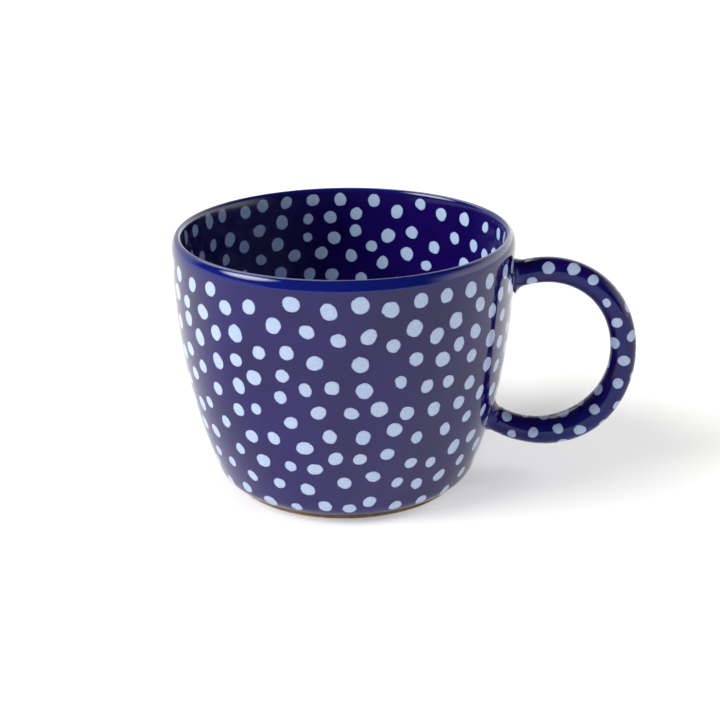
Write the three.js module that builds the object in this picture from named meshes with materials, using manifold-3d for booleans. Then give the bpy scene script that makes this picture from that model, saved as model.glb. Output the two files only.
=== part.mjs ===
// Stoneware mug with a round coil handle. Millimetres, +Z up.
// The mug stands on z = 0 with its handle towards +X. The exported group is shifted along X
// so that the origin lies under the middle of the whole mug, cup and handle together.
import * as THREE from "three";
import { mergeVertices } from "three/addons/utils/BufferGeometryUtils.js";
import Module from "manifold-3d";

const wasm = await Module();
wasm.setup();

// ---- Driving dimensions -------------------------------------------------------------

const HEIGHT = 80;
const RIM_RADIUS = 52.5;
const WALL = 3.8;

// The wall thins to a rounded lip. Its crown is the highest point: the outside falls away from
// it slowly and the inside quickly, and then flares out by FLARE_SLOPE down to the throat.
const LIP_OUTER_WIDTH = 1.5;
const LIP_OUTER_HEIGHT = 3.5;
const LIP_INNER_WIDTH = 1.3;
const LIP_INNER_HEIGHT = 1.6;
const FLARE_SLOPE = Math.tan(degrees(14));
const THROAT_Z = 70;

// The outside falls in from the rim by TAPER * (depth below the rim / HEIGHT) ^ TAPER_POWER.
const TAPER = 14.2;
const TAPER_POWER = 2.4;

// The heel rounds the wall in to the underside, which stands on the foot ring.
const HEEL_TOP_Z = 6;
const HEEL_RADIUS = 36.4;
const HEEL_FULLNESS = 2.8;
const FOOT_HEIGHT = 1.6;
const FOOT_OUTER_RADIUS = 35.6;
const FOOT_INNER_RADIUS = 31.6;
const FOOT_CHAMFER = 0.4;
const LAND_INNER_RADIUS = 31.2;
const RECESS_RADIUS = 29.6;
const RECESS_Z = 3.4;

// The inside follows the wall down to BASIN_TOP_Z and then rounds into a flat floor.
const FLOOR_Z = 7.2;
const BASIN_TOP_Z = 16;
const BASIN_FLAT_RADIUS = 27;

// The handle is a coil bent into a ring in the plane y = 0, slightly fuller at its corners,
// and thicker low down on its outer side. Angles are seen from -Y, anticlockwise from +X.
const RING_CENTRE = new THREE.Vector2(60.7, 40.1);
const RING_RADIUS = 26.6;
const RING_FULLNESS = 0.45;
const COIL_RADIUS = 4;
const COIL_SWELL = 0.87;
const COIL_SWELL_ANGLE = degrees(-61);
const COIL_SWELL_SPREAD = degrees(35.5);
const UPPER_END_ANGLE = degrees(103.3);
const LOWER_END_ANGLE = degrees(-121);

// Each end of the coil is stuck to the wall with a collar of slip that flares at the wall.
const JOINT_SINK_ANGLE = degrees(15);
const FILLET_WIDTH = 1.5;
const FILLET_REACH = 3;
const SEATING_GAP = 0.3;

// Facets
const LATHE_SEGMENTS = 80;
const WALL_STEPS = 9;
const ARC_STEPS = 7;
const LIP_STEPS = 5;
const THROAT_STEPS = 3;
const COIL_SIDES = 20;
const COIL_STEPS = 40;
const JOINT_STEPS = 10;

// ---- Helpers ------------------------------------------------------------------------

function degrees(angle) {
  return THREE.MathUtils.degToRad(angle);
}

function point(radius, z) {
  return new THREE.Vector2(radius, z);
}

function steps(start, end, count) {
  return Array.from({ length: count + 1 }, (_, i) => THREE.MathUtils.lerp(start, end, i / count));
}

function revolve(profile) {
  return new THREE.LatheGeometry(profile, LATHE_SEGMENTS).rotateX(Math.PI / 2);
}

function toSolid(geometry) {
  const bare = geometry.clone();
  bare.deleteAttribute("normal");
  bare.deleteAttribute("uv");
  const merged = mergeVertices(bare);
  return new wasm.Manifold(
    new wasm.Mesh({
      numProp: 3,
      vertProperties: new Float32Array(merged.getAttribute("position").array),
      triVerts: new Uint32Array(merged.getIndex().array),
    }),
  );
}

function toGeometry(solid) {
  const mesh = solid.getMesh();
  const geometry = new THREE.BufferGeometry();
  geometry.setAttribute("position", new THREE.BufferAttribute(mesh.vertProperties, 3));
  geometry.setIndex(new THREE.BufferAttribute(mesh.triVerts, 1));
  geometry.computeVertexNormals();
  return geometry;
}

// ---- Cup ----------------------------------------------------------------------------

function outerRadius(z) {
  return RIM_RADIUS - TAPER * ((HEIGHT - z) / HEIGHT) ** TAPER_POWER;
}

function outerSlope(z) {
  return ((TAPER * TAPER_POWER) / HEIGHT) * ((HEIGHT - z) / HEIGHT) ** (TAPER_POWER - 1);
}

// The point of the inside that lies one wall thickness in from the outside at height z.
function innerPoint(z) {
  const slope = outerSlope(z);
  const inset = WALL / Math.hypot(1, slope);
  return point(outerRadius(z) - inset, z + slope * inset);
}

function heelCurve() {
  const top = point(outerRadius(HEEL_TOP_Z), HEEL_TOP_Z);
  const slope = outerSlope(HEEL_TOP_Z);
  const control = point(top.x - slope * HEEL_FULLNESS, top.y - HEEL_FULLNESS);
  return new THREE.QuadraticBezierCurve(point(HEEL_RADIUS, FOOT_HEIGHT), control, top);
}

// A stretch of the lip on one side of its crown, from startAngle to endAngle of an ellipse.
function lipCurve(width, height, startAngle, endAngle) {
  const crownRadius = RIM_RADIUS - LIP_OUTER_WIDTH;
  return new THREE.EllipseCurve(crownRadius, HEIGHT - height, width, height, startAngle, endAngle);
}

function outerLipCurve() {
  return lipCurve(LIP_OUTER_WIDTH, LIP_OUTER_HEIGHT, 0, Math.PI / 2);
}

function innerLipCurve() {
  const flareAngle = Math.atan((FLARE_SLOPE * LIP_INNER_HEIGHT) / LIP_INNER_WIDTH);
  return lipCurve(LIP_INNER_WIDTH, LIP_INNER_HEIGHT, Math.PI / 2, Math.PI - flareAngle);
}

// The flare below the lip, easing into the parallel wall at THROAT_Z.
function throatCurve() {
  const top = innerLipCurve().getPoint(1);
  const bottom = innerPoint(THROAT_Z);
  const slope = outerSlope(THROAT_Z);
  const drop = (top.x - bottom.x - slope * (top.y - bottom.y)) / (FLARE_SLOPE - slope);
  const control = point(top.x - FLARE_SLOPE * drop, top.y - drop);
  return new THREE.QuadraticBezierCurve(top, control, bottom);
}

function basinCurve() {
  const top = innerPoint(BASIN_TOP_Z);
  const drop = top.y - FLOOR_Z;
  const control = point(top.x - outerSlope(BASIN_TOP_Z) * drop, FLOOR_Z);
  return new THREE.QuadraticBezierCurve(top, control, point(BASIN_FLAT_RADIUS, FLOOR_Z));
}

function cupBody() {
  const outside = steps(HEEL_TOP_Z, HEIGHT - LIP_OUTER_HEIGHT, WALL_STEPS);
  const inside = steps(THROAT_Z, BASIN_TOP_Z, WALL_STEPS);
  return revolve([
    point(0, RECESS_Z),
    point(RECESS_RADIUS, RECESS_Z),
    point(LAND_INNER_RADIUS, FOOT_HEIGHT),
    ...heelCurve().getPoints(ARC_STEPS),
    ...outside.slice(1, -1).map((z) => point(outerRadius(z), z)),
    ...outerLipCurve().getPoints(LIP_STEPS),
    ...innerLipCurve().getPoints(LIP_STEPS).slice(1),
    ...throatCurve().getPoints(THROAT_STEPS).slice(1, -1),
    ...inside.slice(0, -1).map(innerPoint),
    ...basinCurve().getPoints(ARC_STEPS),
    point(0, FLOOR_Z),
  ]);
}

function footRing() {
  return revolve([
    point(FOOT_INNER_RADIUS, FOOT_HEIGHT),
    point(FOOT_INNER_RADIUS, FOOT_CHAMFER),
    point(FOOT_INNER_RADIUS + FOOT_CHAMFER, 0),
    point(FOOT_OUTER_RADIUS - FOOT_CHAMFER, 0),
    point(FOOT_OUTER_RADIUS, FOOT_CHAMFER),
    point(FOOT_OUTER_RADIUS, FOOT_HEIGHT),
    point(FOOT_INNER_RADIUS, FOOT_HEIGHT),
  ]);
}

// A filled cup, a seating gap larger than the outside, that trims what sits on the wall.
function wallEnvelope() {
  const heights = steps(0, HEIGHT, WALL_STEPS * 2);
  return toSolid(
    revolve([
      point(0, 0),
      ...heights.map((z) => point(outerRadius(z) + SEATING_GAP, z)),
      point(0, HEIGHT),
    ]),
  );
}

// ---- Handle -------------------------------------------------------------------------

function ringRadius(angle) {
  return RING_RADIUS - RING_FULLNESS * Math.cos(3 * angle);
}

function coilRadius(angle) {
  const offset = (angle - COIL_SWELL_ANGLE) / COIL_SWELL_SPREAD;
  return COIL_RADIUS + COIL_SWELL * Math.exp(-offset * offset);
}

class RingCurve extends THREE.Curve {
  constructor(startAngle, endAngle) {
    super();
    this.startAngle = startAngle;
    this.endAngle = endAngle;
  }

  angleAt(t) {
    return THREE.MathUtils.lerp(this.startAngle, this.endAngle, t);
  }

  getPoint(t, target = new THREE.Vector3()) {
    const angle = this.angleAt(t);
    const radius = ringRadius(angle);
    return target.set(
      RING_CENTRE.x + radius * Math.cos(angle),
      0,
      RING_CENTRE.y + radius * Math.sin(angle),
    );
  }
}

// A cylinder with end caps, bent along the ring. radiusAt(angle, skin) gives its radius, where
// skin is the point that the plain coil's surface would have there.
function bentRod(curve, stepCount, radiusAt) {
  const rod = new THREE.CylinderGeometry(1, 1, 1, COIL_SIDES, stepCount);
  const position = rod.getAttribute("position");
  const vertex = new THREE.Vector3();
  for (let i = 0; i < position.count; i++) {
    vertex.fromBufferAttribute(position, i);
    const t = THREE.MathUtils.clamp(vertex.y + 0.5, 0, 1);
    const centre = curve.getPoint(t);
    const tangent = curve.getTangent(t);
    const across = new THREE.Vector3(-tangent.z, 0, tangent.x);
    const aside = new THREE.Vector3().crossVectors(across, tangent);
    const direction = across.multiplyScalar(vertex.x).addScaledVector(aside, vertex.z);
    const angle = curve.angleAt(t);
    const skin = centre.clone().addScaledVector(direction, coilRadius(angle));
    vertex.copy(centre).addScaledVector(direction, radiusAt(angle, skin));
    position.setXYZ(i, vertex.x, vertex.y, vertex.z);
  }
  rod.computeVertexNormals();
  return rod;
}

function handleCoil() {
  return bentRod(new RingCurve(UPPER_END_ANGLE, LOWER_END_ANGLE), COIL_STEPS, coilRadius);
}

// The coil's radius, plus a fillet that widens as the skin nears the wall.
function filletRadius(angle, skin) {
  const clearance = Math.max(0, Math.hypot(skin.x, skin.y) - outerRadius(skin.z));
  const nearness = Math.max(0, 1 - clearance / FILLET_REACH);
  return coilRadius(angle) + FILLET_WIDTH * nearness * nearness;
}

// A collar between one end of the coil and the wall, trimmed to the wall.
function slipJoint(endAngle) {
  const inward = Math.sign(endAngle);
  const nearAngle = endAngle + (inward * SEATING_GAP) / RING_RADIUS;
  const farAngle = endAngle + inward * JOINT_SINK_ANGLE;
  const curve = new RingCurve(...(inward > 0 ? [farAngle, nearAngle] : [nearAngle, farAngle]));
  const collar = toSolid(bentRod(curve, JOINT_STEPS, filletRadius));
  return toGeometry(collar.subtract(wallEnvelope()));
}

// ---- Materials and assembly ---------------------------------------------------------

function cobaltGlaze() {
  return new THREE.MeshStandardMaterial({ color: 0x1a1a5e, roughness: 0.1, metalness: 0 });
}

function bareStoneware() {
  return new THREE.MeshStandardMaterial({ color: 0x9c7a58, roughness: 0.85, metalness: 0 });
}

function part(name, geometry, material) {
  const mesh = new THREE.Mesh(geometry, material);
  mesh.name = name;
  return mesh;
}

const handleReach = RING_CENTRE.x + ringRadius(0) + coilRadius(0);

const mug = new THREE.Group();
mug.position.x = -(handleReach - RIM_RADIUS) / 2;
mug.add(
  part("cup_body", cupBody(), cobaltGlaze()),
  part("foot_ring", footRing(), bareStoneware()),
  part("handle", handleCoil(), cobaltGlaze()),
  part("handle_joint_upper", slipJoint(UPPER_END_ANGLE), cobaltGlaze()),
  part("handle_joint_lower", slipJoint(LOWER_END_ANGLE), cobaltGlaze()),
);

export default mug;
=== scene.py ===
"""The looks of a cobalt stoneware mug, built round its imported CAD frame. Metres, +Z up.

The cup, its foot ring, the handle's coil and the two collars of slip are fine closed meshes
that stand for the faceted CAD nodes. The pale spots are painted by the glaze's shader: each
face of a mesh carries the centre, the stretch and the size of the spot nearest to it, and the
shader draws that spot's ragged outline.
"""

import math

import bpy
import numpy as np
from mathutils import Matrix, Vector


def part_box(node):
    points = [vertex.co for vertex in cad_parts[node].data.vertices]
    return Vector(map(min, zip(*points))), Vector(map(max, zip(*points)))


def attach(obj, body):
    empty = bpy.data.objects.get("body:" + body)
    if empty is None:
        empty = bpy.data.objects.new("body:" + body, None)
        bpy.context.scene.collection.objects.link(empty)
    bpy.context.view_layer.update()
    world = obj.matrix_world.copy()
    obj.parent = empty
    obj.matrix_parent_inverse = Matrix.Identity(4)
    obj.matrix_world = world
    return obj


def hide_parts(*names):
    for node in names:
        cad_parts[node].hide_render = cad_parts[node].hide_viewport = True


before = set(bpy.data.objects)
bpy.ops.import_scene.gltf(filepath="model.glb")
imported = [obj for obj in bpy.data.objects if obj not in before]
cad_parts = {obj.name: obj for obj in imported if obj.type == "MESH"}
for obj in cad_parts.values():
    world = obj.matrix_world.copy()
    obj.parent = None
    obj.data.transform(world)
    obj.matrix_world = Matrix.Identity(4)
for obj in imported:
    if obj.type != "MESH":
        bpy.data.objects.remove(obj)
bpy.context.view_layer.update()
MM = 0.001

# ---- Sizes taken from the frame -------------------------------------------------------

_, CUP_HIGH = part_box("cup_body")
FOOT_LOW, FOOT_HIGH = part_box("foot_ring")
AXIS_X = (FOOT_LOW.x + FOOT_HIGH.x) / 2
RIM_RADIUS = CUP_HIGH.y
HEIGHT = CUP_HIGH.z
FOOT_HEIGHT = FOOT_HIGH.z
FOOT_OUTER_RADIUS = FOOT_HIGH.y

# ---- The cup's section, as in the CAD source ------------------------------------------

WALL = 3.8 * MM
TAPER = 14.2 * MM
TAPER_POWER = 2.4
FLARE_SLOPE = math.tan(math.radians(14))
THROAT_Z = 70 * MM
HEEL_TOP_Z = 6 * MM
HEEL_RADIUS = 36.4 * MM
HEEL_FULLNESS = 2.8 * MM
FOOT_INNER_RADIUS = 31.6 * MM
LAND_INNER_RADIUS = 31.2 * MM
RECESS_RADIUS = 29.6 * MM
RECESS_Z = 3.4 * MM
FLOOR_Z = 7.2 * MM
BASIN_TOP_Z = 16 * MM
BASIN_FLAT_RADIUS = 27 * MM

# ---- Where it differs from the CAD source: rounder lip and foot, hand-thrown wall -------

LIP_OUTER_WIDTH = 1.9 * MM
LIP_OUTER_HEIGHT = 4.0 * MM
LIP_INNER_WIDTH = 1.2 * MM
LIP_INNER_HEIGHT = 1.6 * MM
FOOT_ROUNDING = 0.5 * MM
THROWN_WOBBLE = 0.22 * MM
# Each kind of lobe: how many go round the cup, their share, their phase, their twist to the rim.
WOBBLE_LOBES = ((2, 0.5, 0.9, 0.0), (3, 0.3, 2.1, 0.0), (5, 0.2, 0.0, 4.0))

# ---- The handle's ring, as in the CAD source ------------------------------------------

RING_CENTRE_X = AXIS_X + 60.7 * MM
RING_CENTRE_Z = 40.1 * MM
RING_RADIUS = 26.6 * MM
RING_FULLNESS = 0.45 * MM
COIL_RADIUS = 4 * MM
COIL_SWELL = 0.87 * MM
COIL_SWELL_ANGLE = math.radians(-61)
COIL_SWELL_SPREAD = math.radians(35.5)
UPPER_END_ANGLE = math.radians(103.3)
LOWER_END_ANGLE = math.radians(-121)

# ---- The collars of slip, which lap the coil's ends and sink into the wall --------------

JOINT_SINK_ANGLE = math.radians(10)
JOINT_OVERLAP_ANGLE = math.radians(4)
FILLET_WIDTH = 1.5 * MM
FILLET_REACH = 3 * MM
COLLAR_DIP = 0.006 * MM

# ---- Mesh fineness --------------------------------------------------------------------

CUP_SEGMENTS = 300
ROW_LENGTH = 1.15 * MM
CURVE_STEPS = 12
FLOOR_RINGS = 20
UNDERSIDE_RING_RADIUS = 0.6 * RECESS_RADIUS
FOOT_CORNER_STEPS = 6
COIL_SEGMENTS = 56
COIL_ROWS = 150
JOINT_ROWS = 26

# ---- Painted spots --------------------------------------------------------------------

SPOT_SEED = 19
SPOT_SPACING = 7.8 * MM
HANDLE_SPOT_SPACING = 6.7 * MM
SPOT_RADIUS_LOW = 1.95 * MM
SPOT_RADIUS_HIGH = 2.4 * MM
INSIDE_SPOT_RADIUS = 2.1 * MM
HANDLE_SPOT_RADIUS = 1.68 * MM
SPOT_RADIUS_SPREAD = 0.16 * MM
SPOT_RADIUS_LEAST = 0.75
SPOT_RADIUS_MOST = 1.25
HAND_SLIP = 0.55 * MM
FOOT_MARGIN = 5.2 * MM
LIP_MARGIN = 2.9 * MM
THROAT_MARGIN = 2.4 * MM
HANDLE_SPOT_MARGIN = math.radians(5)
SPOT_STRETCH = 1.2
NO_SPOT_RADIUS = -1.0
TRIES_PER_PLACE = 12
AXIS_GUARD = 1e-9
FACES_AT_ONCE = 4000

rng = np.random.default_rng(SPOT_SEED)


# ---- Curves ---------------------------------------------------------------------------

def outer_radius(z):
    return RIM_RADIUS - TAPER * ((HEIGHT - z) / HEIGHT) ** TAPER_POWER


def outer_slope(z):
    return TAPER * TAPER_POWER / HEIGHT * ((HEIGHT - z) / HEIGHT) ** (TAPER_POWER - 1)


def inner_point(z):
    """The point of the inside that lies one wall thickness in from the outside at z."""
    slope = outer_slope(z)
    inset = WALL / math.hypot(1, slope)
    return outer_radius(z) - inset, z + slope * inset


def bezier(start, control, end, count=CURVE_STEPS):
    t = np.linspace(0, 1, count + 1)[:, None]
    return (1 - t) ** 2 * start + 2 * t * (1 - t) * control + t**2 * end


def ellipse(centre, width, height, start, end, count=CURVE_STEPS):
    angle = np.linspace(start, end, count + 1)
    return np.c_[centre[0] + width * np.cos(angle), centre[1] + height * np.sin(angle)]


def heel_curve():
    top = np.array([outer_radius(HEEL_TOP_Z), HEEL_TOP_Z])
    control = top - HEEL_FULLNESS * np.array([outer_slope(HEEL_TOP_Z), 1])
    return bezier(np.array([HEEL_RADIUS, FOOT_HEIGHT]), control, top)


def lip_curve():
    crown = RIM_RADIUS - LIP_OUTER_WIDTH
    flare_angle = math.atan(FLARE_SLOPE * LIP_INNER_HEIGHT / LIP_INNER_WIDTH)
    outer = ellipse((crown, HEIGHT - LIP_OUTER_HEIGHT), LIP_OUTER_WIDTH, LIP_OUTER_HEIGHT,
                    0, math.pi / 2)
    inner = ellipse((crown, HEIGHT - LIP_INNER_HEIGHT), LIP_INNER_WIDTH, LIP_INNER_HEIGHT,
                    math.pi / 2, math.pi - flare_angle)
    return np.vstack([outer, inner[1:]])


def throat_curve():
    """The flare below the lip, easing into the parallel wall at THROAT_Z."""
    top = lip_curve()[-1]
    bottom = np.array(inner_point(THROAT_Z))
    slope = outer_slope(THROAT_Z)
    run, rise = top - bottom
    drop = (run - slope * rise) / (FLARE_SLOPE - slope)
    return bezier(top, top - drop * np.array([FLARE_SLOPE, 1]), bottom)


def basin_curve():
    top = np.array(inner_point(BASIN_TOP_Z))
    drop = top[1] - FLOOR_Z
    control = top - drop * np.array([outer_slope(BASIN_TOP_Z), 1])
    return bezier(top, control, np.array([BASIN_FLAT_RADIUS, FLOOR_Z]))


def wall_rows(start_z, end_z):
    return np.linspace(start_z, end_z, round(abs(end_z - start_z) / ROW_LENGTH) + 1)


def run_together(*curves):
    """Curves joined end to end, each dropping the first point that it shares."""
    return np.vstack([curves[0], *(c[1:] for c in curves[1:])])


def cup_sections():
    """The cup's outline from the underside's centre round to the floor's, in four stretches."""
    outside_z = wall_rows(HEEL_TOP_Z, HEIGHT - LIP_OUTER_HEIGHT)
    inside_z = wall_rows(THROAT_Z, BASIN_TOP_Z)
    floor_radii = np.linspace(BASIN_FLAT_RADIUS, 0, FLOOR_RINGS)
    return {
        "underside": np.array([(0, RECESS_Z), (UNDERSIDE_RING_RADIUS, RECESS_Z),
                               (RECESS_RADIUS, RECESS_Z), (LAND_INNER_RADIUS, FOOT_HEIGHT),
                               (HEEL_RADIUS, FOOT_HEIGHT)]),
        "outside": run_together(heel_curve(), np.c_[outer_radius(outside_z), outside_z]),
        "lip": lip_curve(),
        "inside": run_together(throat_curve(), np.array([inner_point(z) for z in inside_z]),
                               basin_curve(), np.c_[floor_radii, np.full(FLOOR_RINGS, FLOOR_Z)]),
    }


# ---- Surfaces that spots are scattered on ---------------------------------------------

def revolved_surface(section):
    """A function from (distance along the section, angle round the cup's axis) to points."""
    along = np.r_[0, np.cumsum(np.linalg.norm(np.diff(section, axis=0), axis=1))]

    def surface(u, v):
        radius = np.interp(u, along, section[:, 0])
        height = np.interp(u, along, section[:, 1])
        return np.stack([AXIS_X + radius * np.cos(v), radius * np.sin(v), height], -1)

    return surface, along


def ring_radius(angle):
    return RING_RADIUS - RING_FULLNESS * np.cos(3 * angle)


def coil_radius(angle):
    away = (angle - COIL_SWELL_ANGLE) / COIL_SWELL_SPREAD
    return COIL_RADIUS + COIL_SWELL * np.exp(-(away**2))


def ring_point(angle):
    radius = ring_radius(angle)
    return np.stack([RING_CENTRE_X + radius * np.cos(angle), np.zeros_like(angle),
                     RING_CENTRE_Z + radius * np.sin(angle)], -1)


def coil_skin(angle, turn, radius):
    """The point at that radius from the ring's centreline, turned round it from the outside."""
    step = 1e-4
    tangent = ring_point(angle + step) - ring_point(angle - step)
    tangent /= np.linalg.norm(tangent, axis=-1, keepdims=True)
    across = np.stack([tangent[..., 2], np.zeros_like(angle), -tangent[..., 0]], -1)
    aside = np.array([0.0, 1.0, 0.0])
    spread = np.cos(turn)[..., None] * across + np.sin(turn)[..., None] * aside
    return ring_point(angle) + np.asarray(radius)[..., None] * spread


def coil_surface(angle, turn):
    return coil_skin(angle, turn, coil_radius(angle))


# ---- Spots ----------------------------------------------------------------------------

def tangents(surface, u, v, step=1e-5):
    return ((surface(u + step, v) - surface(u - step, v)) / (2 * step),
            (surface(u, v + step) - surface(u, v - step)) / (2 * step))


def random_places(surface, u_range, count):
    """Places spread at random over the surface, evenly by area."""
    u = rng.uniform(*u_range, count * TRIES_PER_PLACE)
    v = rng.uniform(-math.pi, math.pi, count * TRIES_PER_PLACE)
    area = np.linalg.norm(np.cross(*tangents(surface, u, v)), axis=1)
    kept = np.flatnonzero(rng.uniform(0, area.max(), len(u)) < area)[:count]
    return u[kept], v[kept]


def surface_area(surface, u_range, samples=6000):
    u = rng.uniform(*u_range, samples)
    v = rng.uniform(-math.pi, math.pi, samples)
    area = np.linalg.norm(np.cross(*tangents(surface, u, v)), axis=1)
    return area.mean() * (u_range[1] - u_range[0]) * 2 * math.pi


def scatter(surface, u_range, spacing, rounds=30, push=0.28, reach=1.3):
    """Places for the dabbed spots: random ones that edge away from their neighbours, then slip a
    little off their marks."""
    count = round(surface_area(surface, u_range) / spacing**2)
    u, v = random_places(surface, u_range, count)
    for rounds_left in range(rounds, -1, -1):
        along_u, along_v = tangents(surface, u, v)
        if rounds_left:
            points = surface(u, v)
            apart = points[:, None] - points[None]
            distance = np.linalg.norm(apart, axis=2) + np.eye(count)
            nearness = np.clip(1 - distance / (reach * spacing), 0, 1)
            shift = (push * spacing * (nearness / distance)[..., None] * apart).sum(axis=1)
        else:
            shift = rng.normal(0, HAND_SLIP, (count, 3))
        u = u + (shift * along_u).sum(1) / (along_u**2).sum(1)
        v = v + (shift * along_v).sum(1) / np.maximum((along_v**2).sum(1), AXIS_GUARD)
        u = np.clip(u, *u_range)
    return u, v


def dab_spots(surface, u, v, radius):
    """Each spot's centre, stretch axis, radius and tint. A stretch axis of length a shortens the
    spot along itself, because distances along it count sqrt(1 + a^2) times."""
    along_u, along_v = (t / np.linalg.norm(t, axis=1, keepdims=True)
                        for t in tangents(surface, u, v))
    turn = rng.uniform(0, math.pi, len(u))[:, None]
    axis = np.cos(turn) * along_u + np.sin(turn) * along_v
    stretch = rng.uniform(1, SPOT_STRETCH, len(u))
    size = np.clip(radius + rng.normal(0, SPOT_RADIUS_SPREAD, len(u)),
                   SPOT_RADIUS_LEAST * radius, SPOT_RADIUS_MOST * radius)
    return {
        "centre": surface(u, v),
        "axis": axis * np.sqrt(stretch**2 - 1)[:, None],
        "radius": size * np.sqrt(stretch),
        "tint": rng.uniform(0, 1, len(u)),
        "within": 0.0,
    }


def paint_spots(mesh, regions):
    """Stores on every face the spot nearest to it. regions pairs a mask of the faces with the
    spots that lie on them; the other faces have none. spot_size holds the radius, the tint and
    1 for a spot within the cup."""
    count = len(mesh.polygons)
    middle = np.empty(count * 3)
    mesh.polygons.foreach_get("center", middle)
    middle = middle.reshape(-1, 3)
    centre, axis = np.zeros((count, 3)), np.zeros((count, 3))
    size = np.tile([NO_SPOT_RADIUS, 0.0, 0.0], (count, 1))
    for mask, spots in regions:
        faces = np.flatnonzero(mask)
        for some in np.array_split(faces, max(1, len(faces) // FACES_AT_ONCE)):
            gap = np.linalg.norm(middle[some, None] - spots["centre"][None], axis=2)
            nearest = (gap - spots["radius"]).argmin(axis=1)
            centre[some] = spots["centre"][nearest]
            axis[some] = spots["axis"][nearest]
            size[some, 0] = spots["radius"][nearest]
            size[some, 1] = spots["tint"][nearest]
            size[some, 2] = spots["within"]
    for name, values in (("spot_centre", centre), ("spot_axis", axis), ("spot_size", size)):
        attribute = mesh.attributes.new(name, "FLOAT_VECTOR", "FACE")
        attribute.data.foreach_set("vector", values.astype(np.float32).ravel())


# ---- Meshes ---------------------------------------------------------------------------

def ring_faces(rows, segments):
    """Quads between neighbouring rows of a closed grid, one row after another."""
    row, column = np.meshgrid(np.arange(rows - 1), np.arange(segments), indexing="ij")
    beside = (column + 1) % segments
    corners = [row * segments + column, row * segments + beside,
               (row + 1) * segments + beside, (row + 1) * segments + column]
    return np.stack(corners, -1).reshape(-1, 4)


def grid_mesh(name, points, caps):
    """A closed mesh of a grid of points, rows by segments. caps are the two end points that
    close its first and last rows, or None where the last row joins the first."""
    rows, segments, _ = points.shape
    vertices = points.reshape(-1, 3)
    beside = (np.arange(segments) + 1) % segments
    if caps is None:
        faces = ring_faces(rows, segments).tolist()
        last = (rows - 1) * segments
        faces += [[last + a, last + b, b, a] for a, b in enumerate(beside)]
    else:
        first_cap, last_cap = len(vertices), len(vertices) + 1
        last = (rows - 1) * segments
        faces = [[first_cap, b, a] for a, b in enumerate(beside)]
        faces += ring_faces(rows, segments).tolist()
        faces += [[last + a, last + b, last_cap] for a, b in enumerate(beside)]
        vertices = np.vstack([vertices, caps])
    mesh = bpy.data.meshes.new(name)
    mesh.from_pydata(vertices.tolist(), [], faces)
    mesh.shade_smooth()
    mesh.update()
    return mesh


def thrown_wobble(radius, height, angle):
    """The radius of a hand-thrown wall, which falls a little short of the true one there. It
    strays more towards the rim."""
    lobes = sum(share * np.sin(count * angle + phase + twist * height / HEIGHT)
                for count, share, phase, twist in WOBBLE_LOBES)
    inward = np.minimum(radius / HEEL_RADIUS, 1)
    return radius - THROWN_WOBBLE * (height / HEIGHT) * (1 + lobes) * inward


def revolve(name, section, wobbly=False, closed=False):
    """A mesh of the section turned round the cup's axis. An open section starts and ends on
    the axis."""
    rows = section if closed else section[1:-1]
    angle = np.linspace(-math.pi, math.pi, CUP_SEGMENTS, endpoint=False)
    radius, turn = np.meshgrid(rows[:, 0], angle, indexing="ij")
    height = np.broadcast_to(rows[:, 1:], radius.shape)
    if wobbly:
        radius = thrown_wobble(radius, height, turn)
    points = np.stack([AXIS_X + radius * np.cos(turn), radius * np.sin(turn), height], -1)
    caps = None if closed else [(AXIS_X, 0, section[0, 1]), (AXIS_X, 0, section[-1, 1])]
    return grid_mesh(name, points, caps)


def coil_mesh(name, start_angle, end_angle, rows, radius_at=None):
    """A rod bent along the ring. radius_at(angle, skin) gives its radius where the plain coil's
    surface would be at skin."""
    angle, turn = np.meshgrid(np.linspace(start_angle, end_angle, rows),
                              np.linspace(0, 2 * math.pi, COIL_SEGMENTS, endpoint=False),
                              indexing="ij")
    skin = coil_surface(angle, turn)
    if radius_at is not None:
        skin = coil_skin(angle, turn, radius_at(angle, skin))
    ends = ring_point(np.array([start_angle, end_angle]))
    return grid_mesh(name, skin, ends)


def fillet_radius(angle, skin):
    """The coil's radius, plus a fillet that widens as the skin nears the wall. Away from the
    wall it dips just under the coil's own skin, which hides the collar's edge."""
    reach = np.hypot(skin[..., 0] - AXIS_X, skin[..., 1])
    clearance = np.maximum(reach - outer_radius(skin[..., 2]), 0)
    nearness = np.maximum(1 - clearance / FILLET_REACH, 0)
    return coil_radius(angle) - COLLAR_DIP + FILLET_WIDTH * nearness**2


# ---- Shader graphs --------------------------------------------------------------------

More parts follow.
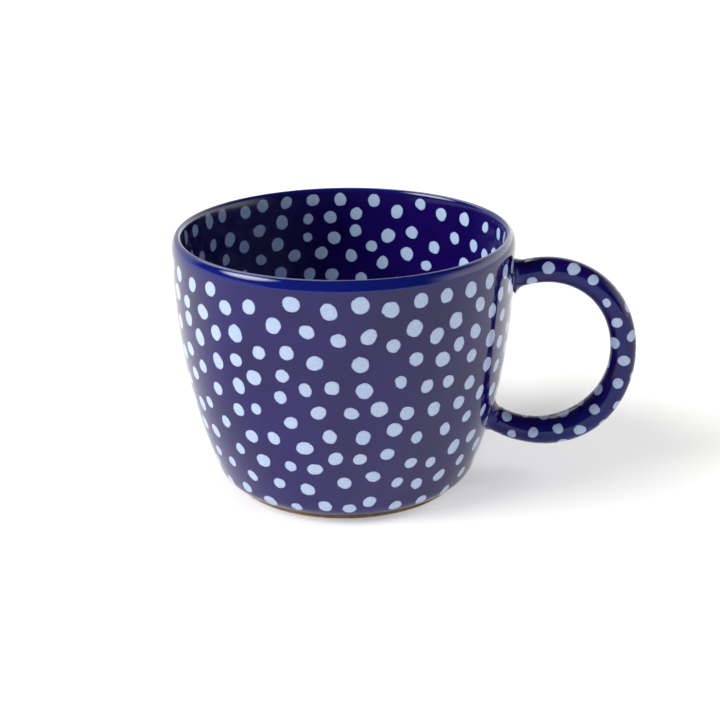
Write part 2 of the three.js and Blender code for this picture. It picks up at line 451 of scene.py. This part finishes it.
class Graph:
    """Short ways to add nodes to a node tree. An argument may be a socket or a constant."""

    def __init__(self, tree):
        self.tree = tree
        tree.nodes.clear()

    def add(self, kind, inputs=(), output=0, **settings):
        node = self.tree.nodes.new(kind)
        for key, value in settings.items():
            setattr(node, key, value)
        for key, value in dict(inputs).items():
            self.feed(node.inputs[key], value)
        return node.outputs[output] if node.outputs else node

    def feed(self, socket, value):
        if isinstance(value, bpy.types.NodeSocket):
            self.tree.links.new(value, socket)
        else:
            socket.default_value = value

    def math(self, operation, *values):
        return self.add("ShaderNodeMath", enumerate(values), operation=operation)

    def vector(self, operation, *values, output=0):
        return self.add("ShaderNodeVectorMath", enumerate(values), output, operation=operation)

    def blend(self, share, low, high):
        """Mixes two colours. The Mix node keeps its colour sockets at 6 and 7, result at 2."""
        inputs = {0: share, 6: low, 7: high}
        return self.add("ShaderNodeMix", inputs, 2, data_type="RGBA")

    def step(self, value, low, high, start=0.0, end=1.0):
        inputs = {0: value, 1: low, 2: high, 3: start, 4: end}
        return self.add("ShaderNodeMapRange", inputs, interpolation_type="SMOOTHSTEP")

    def noise(self, place, scale, detail=2.0, roughness=0.5):
        inputs = {"Vector": place, "Scale": scale, "Detail": detail, "Roughness": roughness}
        return self.add("ShaderNodeTexNoise", inputs)

    def place(self):
        return self.add("ShaderNodeTexCoord", output="Object")

    def attribute(self, name):
        return self.add("ShaderNodeAttribute", output="Vector", attribute_name=name)

    def split(self, vector):
        node = self.tree.nodes.new("ShaderNodeSeparateXYZ")
        self.feed(node.inputs[0], vector)
        return node.outputs

    def surface(self, inputs):
        shader = self.add("ShaderNodeBsdfPrincipled", inputs)
        self.add("ShaderNodeOutputMaterial", {"Surface": shader})


# ---- The glaze and the bare clay ------------------------------------------------------
# A noise's scale is about how many of its lumps lie along a metre. An edge is the pair of
# values that a noise rises between.

COBALT = (0.010, 0.0022, 0.108, 1)
COBALT_DEEP = (0.007, 0.0015, 0.075, 1)
COBALT_THIN = (0.004, 0.009, 0.15, 1)
SPOT_PALE = (0.51, 0.61, 0.80, 1)
SPOT_BLUER = (0.40, 0.51, 0.74, 1)
SPOT_RIM = (0.22, 0.31, 0.60, 1)
# Painted light: a gain that brightens the spots within the cup, standing in for the light on the
# inside wall.
SPOT_PAINTED_LIGHT_WITHIN = (1.18, 1.26, 1.22)
GLAZE_ROUGHNESS_LOW = 0.04
GLAZE_ROUGHNESS_HIGH = 0.08
GLAZE_ROUGHNESS_SCALE = 90.0
GLAZE_ROUGHNESS_EDGE = (0.3, 0.7)
ROUGHER_WITHIN = 0.1
CUP_IOR = 1.45
HANDLE_IOR = 1.36
POOLING_SCALE = 60.0
POOLING_EDGE = (0.35, 0.7)
RIPPLE_SCALE = 190.0
RIPPLE_HEIGHT = 0.03 * MM

LIP_BAND = 3.3 * MM
LIP_BAND_INSIDE = 1.2 * MM
LIP_BAND_TURN = (RIM_RADIUS - 2.4 * MM, RIM_RADIUS - 1.2 * MM)
LIP_BAND_FADE = 1.2 * MM
LIP_DRIFT_SCALE = 120.0
LIP_DRIFT = 0.9 * MM
HANDLE_THIN_GLAZE = 0.75
HANDLE_BAND = (3.7 * MM, 4.6 * MM)
HANDLE_DRIFT_SCALE = 150.0
HANDLE_DRIFT = 0.8 * MM

# Each waver of a spot's outline: the scale of its noise, and how far it can swing in all.
SPOT_WANDERS = ((330.0, 0.9 * MM), (1300.0, 0.22 * MM))
OUTLINE_SOFTNESS = 0.1 * MM
SPOT_THICKNESS = 0.03 * MM
SPOT_SHOULDER = (-0.3 * MM, 0.4 * MM)
MOTTLE_SCALE = 2000.0
MOTTLE_EDGE = (0.35, 0.65)
MOTTLE_SHARE = 0.9
TINT_SHARE = 0.3
BLEED_WIDTH = 0.4 * MM
BLEED_SHARE = 0.5

CLAY_TAN = (0.34, 0.22, 0.13, 1)
CLAY_DARK = (0.18, 0.11, 0.07, 1)
CLAY_ROUGHNESS = 0.88
TOASTED_SCALE = 140.0
TOASTED_EDGE = (0.3, 0.75)
GRAIN_SCALE = 2600.0
GRAIN_EDGE = (0.55, 0.75)
GRAIN_SHARE = 0.6
GRAIN_HEIGHT = 0.08 * MM


def spot_depth(graph, place, radius):
    """How far the place lies inside its spot's ragged outline; negative outside it."""
    offset = graph.vector("SUBTRACT", place, graph.attribute("spot_centre"))
    shortened = graph.vector("DOT_PRODUCT", offset, graph.attribute("spot_axis"), output=1)
    square = graph.math("ADD", graph.vector("DOT_PRODUCT", offset, offset, output=1),
                        graph.math("MULTIPLY", shortened, shortened))
    depth = graph.math("SUBTRACT", radius, graph.math("SQRT", square))
    for scale, amount in SPOT_WANDERS:
        wander = graph.math("SUBTRACT", graph.noise(place, scale, 1.0), 0.5)
        depth = graph.math("MULTIPLY_ADD", wander, amount, depth)
    return depth


def lip_band(graph, place):
    """1 where the glaze runs thin along the lip. It reaches lower outside than inside."""
    x, y, height = graph.split(graph.vector("SUBTRACT", place, (AXIS_X, 0, 0)))
    radius = graph.math("SQRT", graph.math("MULTIPLY_ADD", x, x, graph.math("MULTIPLY", y, y)))
    depth = graph.step(radius, *LIP_BAND_TURN, LIP_BAND_INSIDE, LIP_BAND)
    drift = graph.math("MULTIPLY", graph.noise(place, LIP_DRIFT_SCALE), LIP_DRIFT)
    above = graph.math("ADD", graph.math("ADD", height, drift), depth)
    return graph.step(above, HEIGHT, HEIGHT + LIP_BAND_FADE)


def handle_ridge(graph, place):
    """Rises where the glaze runs thin along the two sides of the handle."""
    aside = graph.math("ABSOLUTE", graph.split(place)[1])
    drift = graph.math("MULTIPLY", graph.noise(place, HANDLE_DRIFT_SCALE), HANDLE_DRIFT)
    return graph.step(graph.math("ADD", aside, drift), *HANDLE_BAND, 0.0, HANDLE_THIN_GLAZE)


def glaze_colour(graph, place, thin):
    """Cobalt that pools a little darker in places, and is brighter where it is thin."""
    pooling = graph.step(graph.noise(place, POOLING_SCALE, 3.0), *POOLING_EDGE)
    return graph.blend(thin, graph.blend(pooling, COBALT, COBALT_DEEP), COBALT_THIN)


def spot_colour(graph, place, depth, tint, within):
    """Pale slip, mottled, with the cobalt bleeding into its edge. Within the cup its colour is
    lifted by painted light, which stands in for the light that falls on the inside wall."""
    grain = graph.noise(place, MOTTLE_SCALE, 2.0, 0.7)
    mottle = graph.step(grain, *MOTTLE_EDGE, 0.0, MOTTLE_SHARE)
    share = graph.math("MULTIPLY_ADD", tint, TINT_SHARE, mottle)
    body = graph.blend(share, SPOT_PALE, SPOT_BLUER)
    # Painted light: spots within the cup are made brighter in place of the light that falls on
    # the inside wall.
    brighter = graph.vector("MULTIPLY", body, SPOT_PAINTED_LIGHT_WITHIN)
    body = graph.blend(within, body, brighter)
    bleed = graph.step(depth, 0.0, BLEED_WIDTH, BLEED_SHARE, 0.0)
    return graph.blend(bleed, body, SPOT_RIM)


def orange_peel(graph, place, height=None):
    """The fired glaze's faint ripple, on top of a height in metres where there is one."""
    ripple = graph.math("MULTIPLY", graph.noise(place, RIPPLE_SCALE, 2.0, 0.4), RIPPLE_HEIGHT)
    total = ripple if height is None else graph.math("ADD", ripple, height)
    inputs = {"Strength": 1.0, "Distance": 1.0, "Height": total}
    return graph.add("ShaderNodeBump", inputs)


def glaze_material(name, thin_glaze, ior, spotted=True):
    """thin_glaze(graph, place) gives the share of thin glaze there."""
    material = bpy.data.materials.new(name)
    material.use_nodes = True
    graph = Graph(material.node_tree)
    place = graph.place()
    colour = glaze_colour(graph, place, thin_glaze(graph, place))
    roughness = graph.step(graph.noise(place, GLAZE_ROUGHNESS_SCALE), *GLAZE_ROUGHNESS_EDGE,
                           GLAZE_ROUGHNESS_LOW, GLAZE_ROUGHNESS_HIGH)
    relief = None
    if spotted:
        radius, tint, within = graph.split(graph.attribute("spot_size"))
        depth = spot_depth(graph, place, radius)
        inside = graph.step(depth, -OUTLINE_SOFTNESS, OUTLINE_SOFTNESS)
        colour = graph.blend(inside, colour, spot_colour(graph, place, depth, tint, within))
        relief = graph.step(depth, *SPOT_SHOULDER, 0.0, SPOT_THICKNESS)
        roughness = graph.math("MULTIPLY_ADD", within, ROUGHER_WITHIN, roughness)
    graph.surface({
        "Base Color": colour,
        "Roughness": roughness,
        "IOR": ior,
        "Normal": orange_peel(graph, place, relief),
    })
    return material


def clay_material():
    material = bpy.data.materials.new("bare_stoneware")
    material.use_nodes = True
    graph = Graph(material.node_tree)
    place = graph.place()
    toasted = graph.step(graph.noise(place, TOASTED_SCALE, 4.0, 0.6), *TOASTED_EDGE)
    grain = graph.noise(place, GRAIN_SCALE, 3.0, 0.7)
    colour = graph.blend(graph.step(grain, *GRAIN_EDGE, 0.0, GRAIN_SHARE),
                         graph.blend(toasted, CLAY_TAN, CLAY_DARK), CLAY_DARK)
    bump = graph.add("ShaderNodeBump", {"Strength": 1.0, "Distance": 1.0,
                                        "Height": graph.math("MULTIPLY", grain, GRAIN_HEIGHT)})
    graph.surface({"Base Color": colour, "Roughness": CLAY_ROUGHNESS, "Normal": bump})
    return material


# ---- The mug's pieces -----------------------------------------------------------------

def piece(name, mesh, material, stands_for):
    thing = bpy.data.objects.new(name, mesh)
    bpy.context.scene.collection.objects.link(thing)
    mesh.materials.append(material)
    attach(thing, "root")
    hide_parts(stands_for)


def outside_spots(section):
    surface, along = revolved_surface(section)
    u, v = scatter(surface, (along[0] + FOOT_MARGIN, along[-1] - LIP_MARGIN), SPOT_SPACING)
    height = np.interp(u, along, section[:, 1]) / HEIGHT
    radius = SPOT_RADIUS_LOW + (SPOT_RADIUS_HIGH - SPOT_RADIUS_LOW) * height
    return dab_spots(surface, u, v, radius)


def inside_spots(section):
    surface, along = revolved_surface(section)
    u, v = scatter(surface, (along[0] + THROAT_MARGIN, along[-1]), SPOT_SPACING)
    return dab_spots(surface, u, v, np.full(len(u), INSIDE_SPOT_RADIUS)) | {"within": 1.0}


def make_cup(glaze):
    sections = cup_sections()
    mesh = revolve("cup_glazed", run_together(*sections.values()), wobbly=True)
    faces, start = {}, 0
    for name, section in sections.items():
        faces[name] = (start * CUP_SEGMENTS, (start + len(section) - 1) * CUP_SEGMENTS)
        start += len(section) - 1
    index = np.arange(len(mesh.polygons))
    regions = [((index >= faces[name][0]) & (index < faces[name][1]), spots)
               for name, spots in (("outside", outside_spots(sections["outside"])),
                                   ("inside", inside_spots(sections["inside"])))]
    paint_spots(mesh, regions)
    piece("cup_glazed", mesh, glaze, "cup_body")


def make_foot(clay):
    corners = ((FOOT_OUTER_RADIUS - FOOT_ROUNDING, -math.pi / 2, 0),
               (FOOT_INNER_RADIUS + FOOT_ROUNDING, math.pi, 1.5 * math.pi))
    outer, inner = (ellipse((r, FOOT_ROUNDING), FOOT_ROUNDING, FOOT_ROUNDING, a, b,
                            FOOT_CORNER_STEPS) for r, a, b in corners)
    top = np.array([(FOOT_OUTER_RADIUS, FOOT_HEIGHT), (FOOT_INNER_RADIUS, FOOT_HEIGHT)])
    mesh = revolve("foot_bare_clay", np.vstack([outer, top, inner]), closed=True)
    piece("foot_bare_clay", mesh, clay, "foot_ring")


def make_handle(glaze):
    mesh = coil_mesh("handle_glazed", LOWER_END_ANGLE, UPPER_END_ANGLE, COIL_ROWS)
    u_range = (LOWER_END_ANGLE + HANDLE_SPOT_MARGIN, UPPER_END_ANGLE - HANDLE_SPOT_MARGIN)
    u, v = scatter(coil_surface, u_range, HANDLE_SPOT_SPACING)
    spots = dab_spots(coil_surface, u, v, np.full(len(u), HANDLE_SPOT_RADIUS))
    paint_spots(mesh, [(np.ones(len(mesh.polygons), bool), spots)])
    piece("handle_glazed", mesh, glaze, "handle")


def make_joint(name, end_angle, glaze, stands_for):
    sunk = end_angle + math.copysign(JOINT_SINK_ANGLE, end_angle)
    lapped = end_angle - math.copysign(JOINT_OVERLAP_ANGLE, end_angle)
    mesh = coil_mesh(name, min(sunk, lapped), max(sunk, lapped), JOINT_ROWS, fillet_radius)
    piece(name, mesh, glaze, stands_for)


plain_glaze = glaze_material("cobalt_glaze_plain", handle_ridge, HANDLE_IOR, spotted=False)
make_cup(glaze_material("cobalt_glaze_cup", lip_band, CUP_IOR))
make_foot(clay_material())
make_handle(glaze_material("cobalt_glaze_handle", handle_ridge, HANDLE_IOR))
make_joint("slip_collar_upper", UPPER_END_ANGLE, plain_glaze, "handle_joint_upper")
make_joint("slip_collar_lower", LOWER_END_ANGLE, plain_glaze, "handle_joint_lower")


# ---- Studio ---------------------------------------------------------------------------

FLOOR_SIZE = 60.0
FLOOR_WHITE = (0.905, 0.9, 0.885, 1)
KEY_DIRECTION = Vector((-0.78, -0.21, 0.59))
KEY_STRENGTH = 3.12
KEY_SOFTNESS = math.radians(40)
FRONT_FILL_DIRECTION = Vector((-0.07, -0.97, 0.225))
FRONT_FILL_STRENGTH = 4.8
FRONT_FILL_SOFTNESS = math.radians(18)
SIDE_FILL_DIRECTION = Vector((0.906, 0.226, 0.358))
SIDE_FILL_STRENGTH = 2.65
SIDE_FILL_SOFTNESS = math.radians(40)
BACKDROP = (1.1, 1.1, 1.1, 1)
AMBIENT = (0.22, 0.22, 0.22, 1)
DARK_ROOM = (0.04, 0.04, 0.04, 1)
BACK_WALL = (1.0, 1.0, 1.0, 1)
SIDE_WALL = (2.4, 2.4, 2.4, 1)
SIDE_WALL_BEARING = (0.85, 0.53, 0.0)
WINDOW = (4.0, 4.0, 4.0, 1)
WINDOW_DIRECTION = (-0.34, 0.53, 0.777)
SOFTBOX = (15.0, 15.0, 15.0, 1)
# Each part of the mirrored room fades in from the first of its pair to the second. An edge is
# measured along the part's own direction, and a top is a height on the unit sphere.
BACK_WALL_EDGE = (0.3, 0.55)
BACK_WALL_TOP = (0.85, 0.7)
LEFT_WALL_EDGE = (-0.7, -0.9)
LEFT_WALL_TOP = (0.15, 0.04)
SIDE_WALL_EDGE = (0.35, 0.75)
SIDE_WALL_TOP = (0.7, 0.2)
WINDOW_EDGE = (0.92, 0.98)
SOFTBOX_EDGE = (0.93, 0.995)


def make_floor():
    bpy.ops.mesh.primitive_plane_add(size=FLOOR_SIZE)
    floor = bpy.context.object
    floor.name = "floor"
    material = bpy.data.materials.new("pale_floor")
    material.use_nodes = True
    graph = Graph(material.node_tree)
    graph.surface({"Base Color": FLOOR_WHITE, "Roughness": 1.0, "Specular IOR Level": 0.0})
    floor.data.materials.append(material)
    return floor


def make_sun(name, direction, strength, softness):
    """A distant soft lamp in that direction from the mug. The glaze mirrors the studio room and
    not the lamp itself."""
    light = bpy.data.lights.new(name, "SUN")
    light.energy = strength
    light.angle = softness
    lamp = bpy.data.objects.new(name, light)
    away = direction.normalized()
    lamp.matrix_world = Matrix.LocRotScale(away, away.to_track_quat("Z", "Y"), None)
    lamp.visible_glossy = False
    bpy.context.scene.collection.objects.link(lamp)
    return lamp


def light_only(lamp, thing):
    receivers = bpy.data.collections.new(lamp.name + "_receivers")
    receivers.objects.link(thing)
    lamp.light_linking.receiver_collection = receivers


def mirrored_room(graph):
    """What the glaze mirrors: a dark room, a pale wall behind the mug and low at the left, a
    brighter one at the right, a window at the back left and the key lamp's softbox."""
    direction = graph.add("ShaderNodeTexCoord", output="Generated")
    x, y, height = graph.split(direction)
    toward_side = graph.vector("DOT_PRODUCT", direction, SIDE_WALL_BEARING, output=1)
    toward_window = graph.vector("DOT_PRODUCT", direction, WINDOW_DIRECTION, output=1)
    softbox_direction = KEY_DIRECTION.normalized()
    toward_softbox = graph.vector("DOT_PRODUCT", direction, softbox_direction, output=1)
    behind = graph.math("MULTIPLY", graph.step(y, *BACK_WALL_EDGE),
                        graph.step(height, *BACK_WALL_TOP))
    low_left = graph.math("MULTIPLY", graph.step(x, *LEFT_WALL_EDGE),
                          graph.step(height, *LEFT_WALL_TOP))
    beside = graph.math("MULTIPLY", graph.step(toward_side, *SIDE_WALL_EDGE),
                        graph.step(height, *SIDE_WALL_TOP))
    pale = graph.math("MAXIMUM", behind, low_left)
    room = graph.blend(pale, DARK_ROOM, BACK_WALL)
    room = graph.blend(beside, room, SIDE_WALL)
    room = graph.blend(graph.step(toward_window, *WINDOW_EDGE), room, WINDOW)
    return graph.blend(graph.step(toward_softbox, *SOFTBOX_EDGE), room, SOFTBOX)


def make_sky():
    """Even soft light on matt surfaces, a studio room in the gloss, and a plain white backdrop
    behind it all."""
    world = bpy.data.worlds.new("studio")
    bpy.context.scene.world = world
    world.use_nodes = True
    graph = Graph(world.node_tree)
    gloss = graph.add("ShaderNodeLightPath", output="Is Glossy Ray")
    seen = graph.add("ShaderNodeLightPath", output="Is Camera Ray")
    colour = graph.blend(gloss, AMBIENT, mirrored_room(graph))
    colour = graph.blend(seen, colour, BACKDROP)
    shader = graph.add("ShaderNodeBackground", {"Color": colour, "Strength": 1.0})
    graph.add("ShaderNodeOutputWorld", {"Surface": shader})


# The camera looks at a point near the middle of the cup from in front and above.
CAMERA_TARGET = Vector((AXIS_X + 4.6 * MM, 0, 37.6 * MM))
CAMERA_DISTANCE = 500 * MM
CAMERA_ELEVATION = math.radians(20.65)
CAMERA_ROLL = math.radians(-0.55)
CAMERA_LENS = 79.85
CAMERA_SENSOR = 36.0
CAMERA_CLIP_END = 200


def make_camera():
    data = bpy.data.cameras.new("camera")
    data.lens = CAMERA_LENS
    data.sensor_width = CAMERA_SENSOR
    data.clip_end = CAMERA_CLIP_END
    camera = bpy.data.objects.new("camera", data)
    back = Vector((0, -math.cos(CAMERA_ELEVATION), math.sin(CAMERA_ELEVATION)))
    turn = back.to_track_quat("Z", "Y").to_matrix() @ Matrix.Rotation(CAMERA_ROLL, 3, "Z")
    camera.matrix_world = Matrix.LocRotScale(CAMERA_TARGET + back * CAMERA_DISTANCE, turn, None)
    bpy.context.scene.collection.objects.link(camera)
    bpy.context.scene.camera = camera


floor = make_floor()
make_sun("key", KEY_DIRECTION, KEY_STRENGTH, KEY_SOFTNESS)
light_only(make_sun("front_fill", FRONT_FILL_DIRECTION, FRONT_FILL_STRENGTH,
                    FRONT_FILL_SOFTNESS), floor)
light_only(make_sun("side_fill", SIDE_FILL_DIRECTION, SIDE_FILL_STRENGTH,
                    SIDE_FILL_SOFTNESS), floor)
make_sky()
make_camera()
bpy.context.scene.view_settings.view_transform = "Standard"
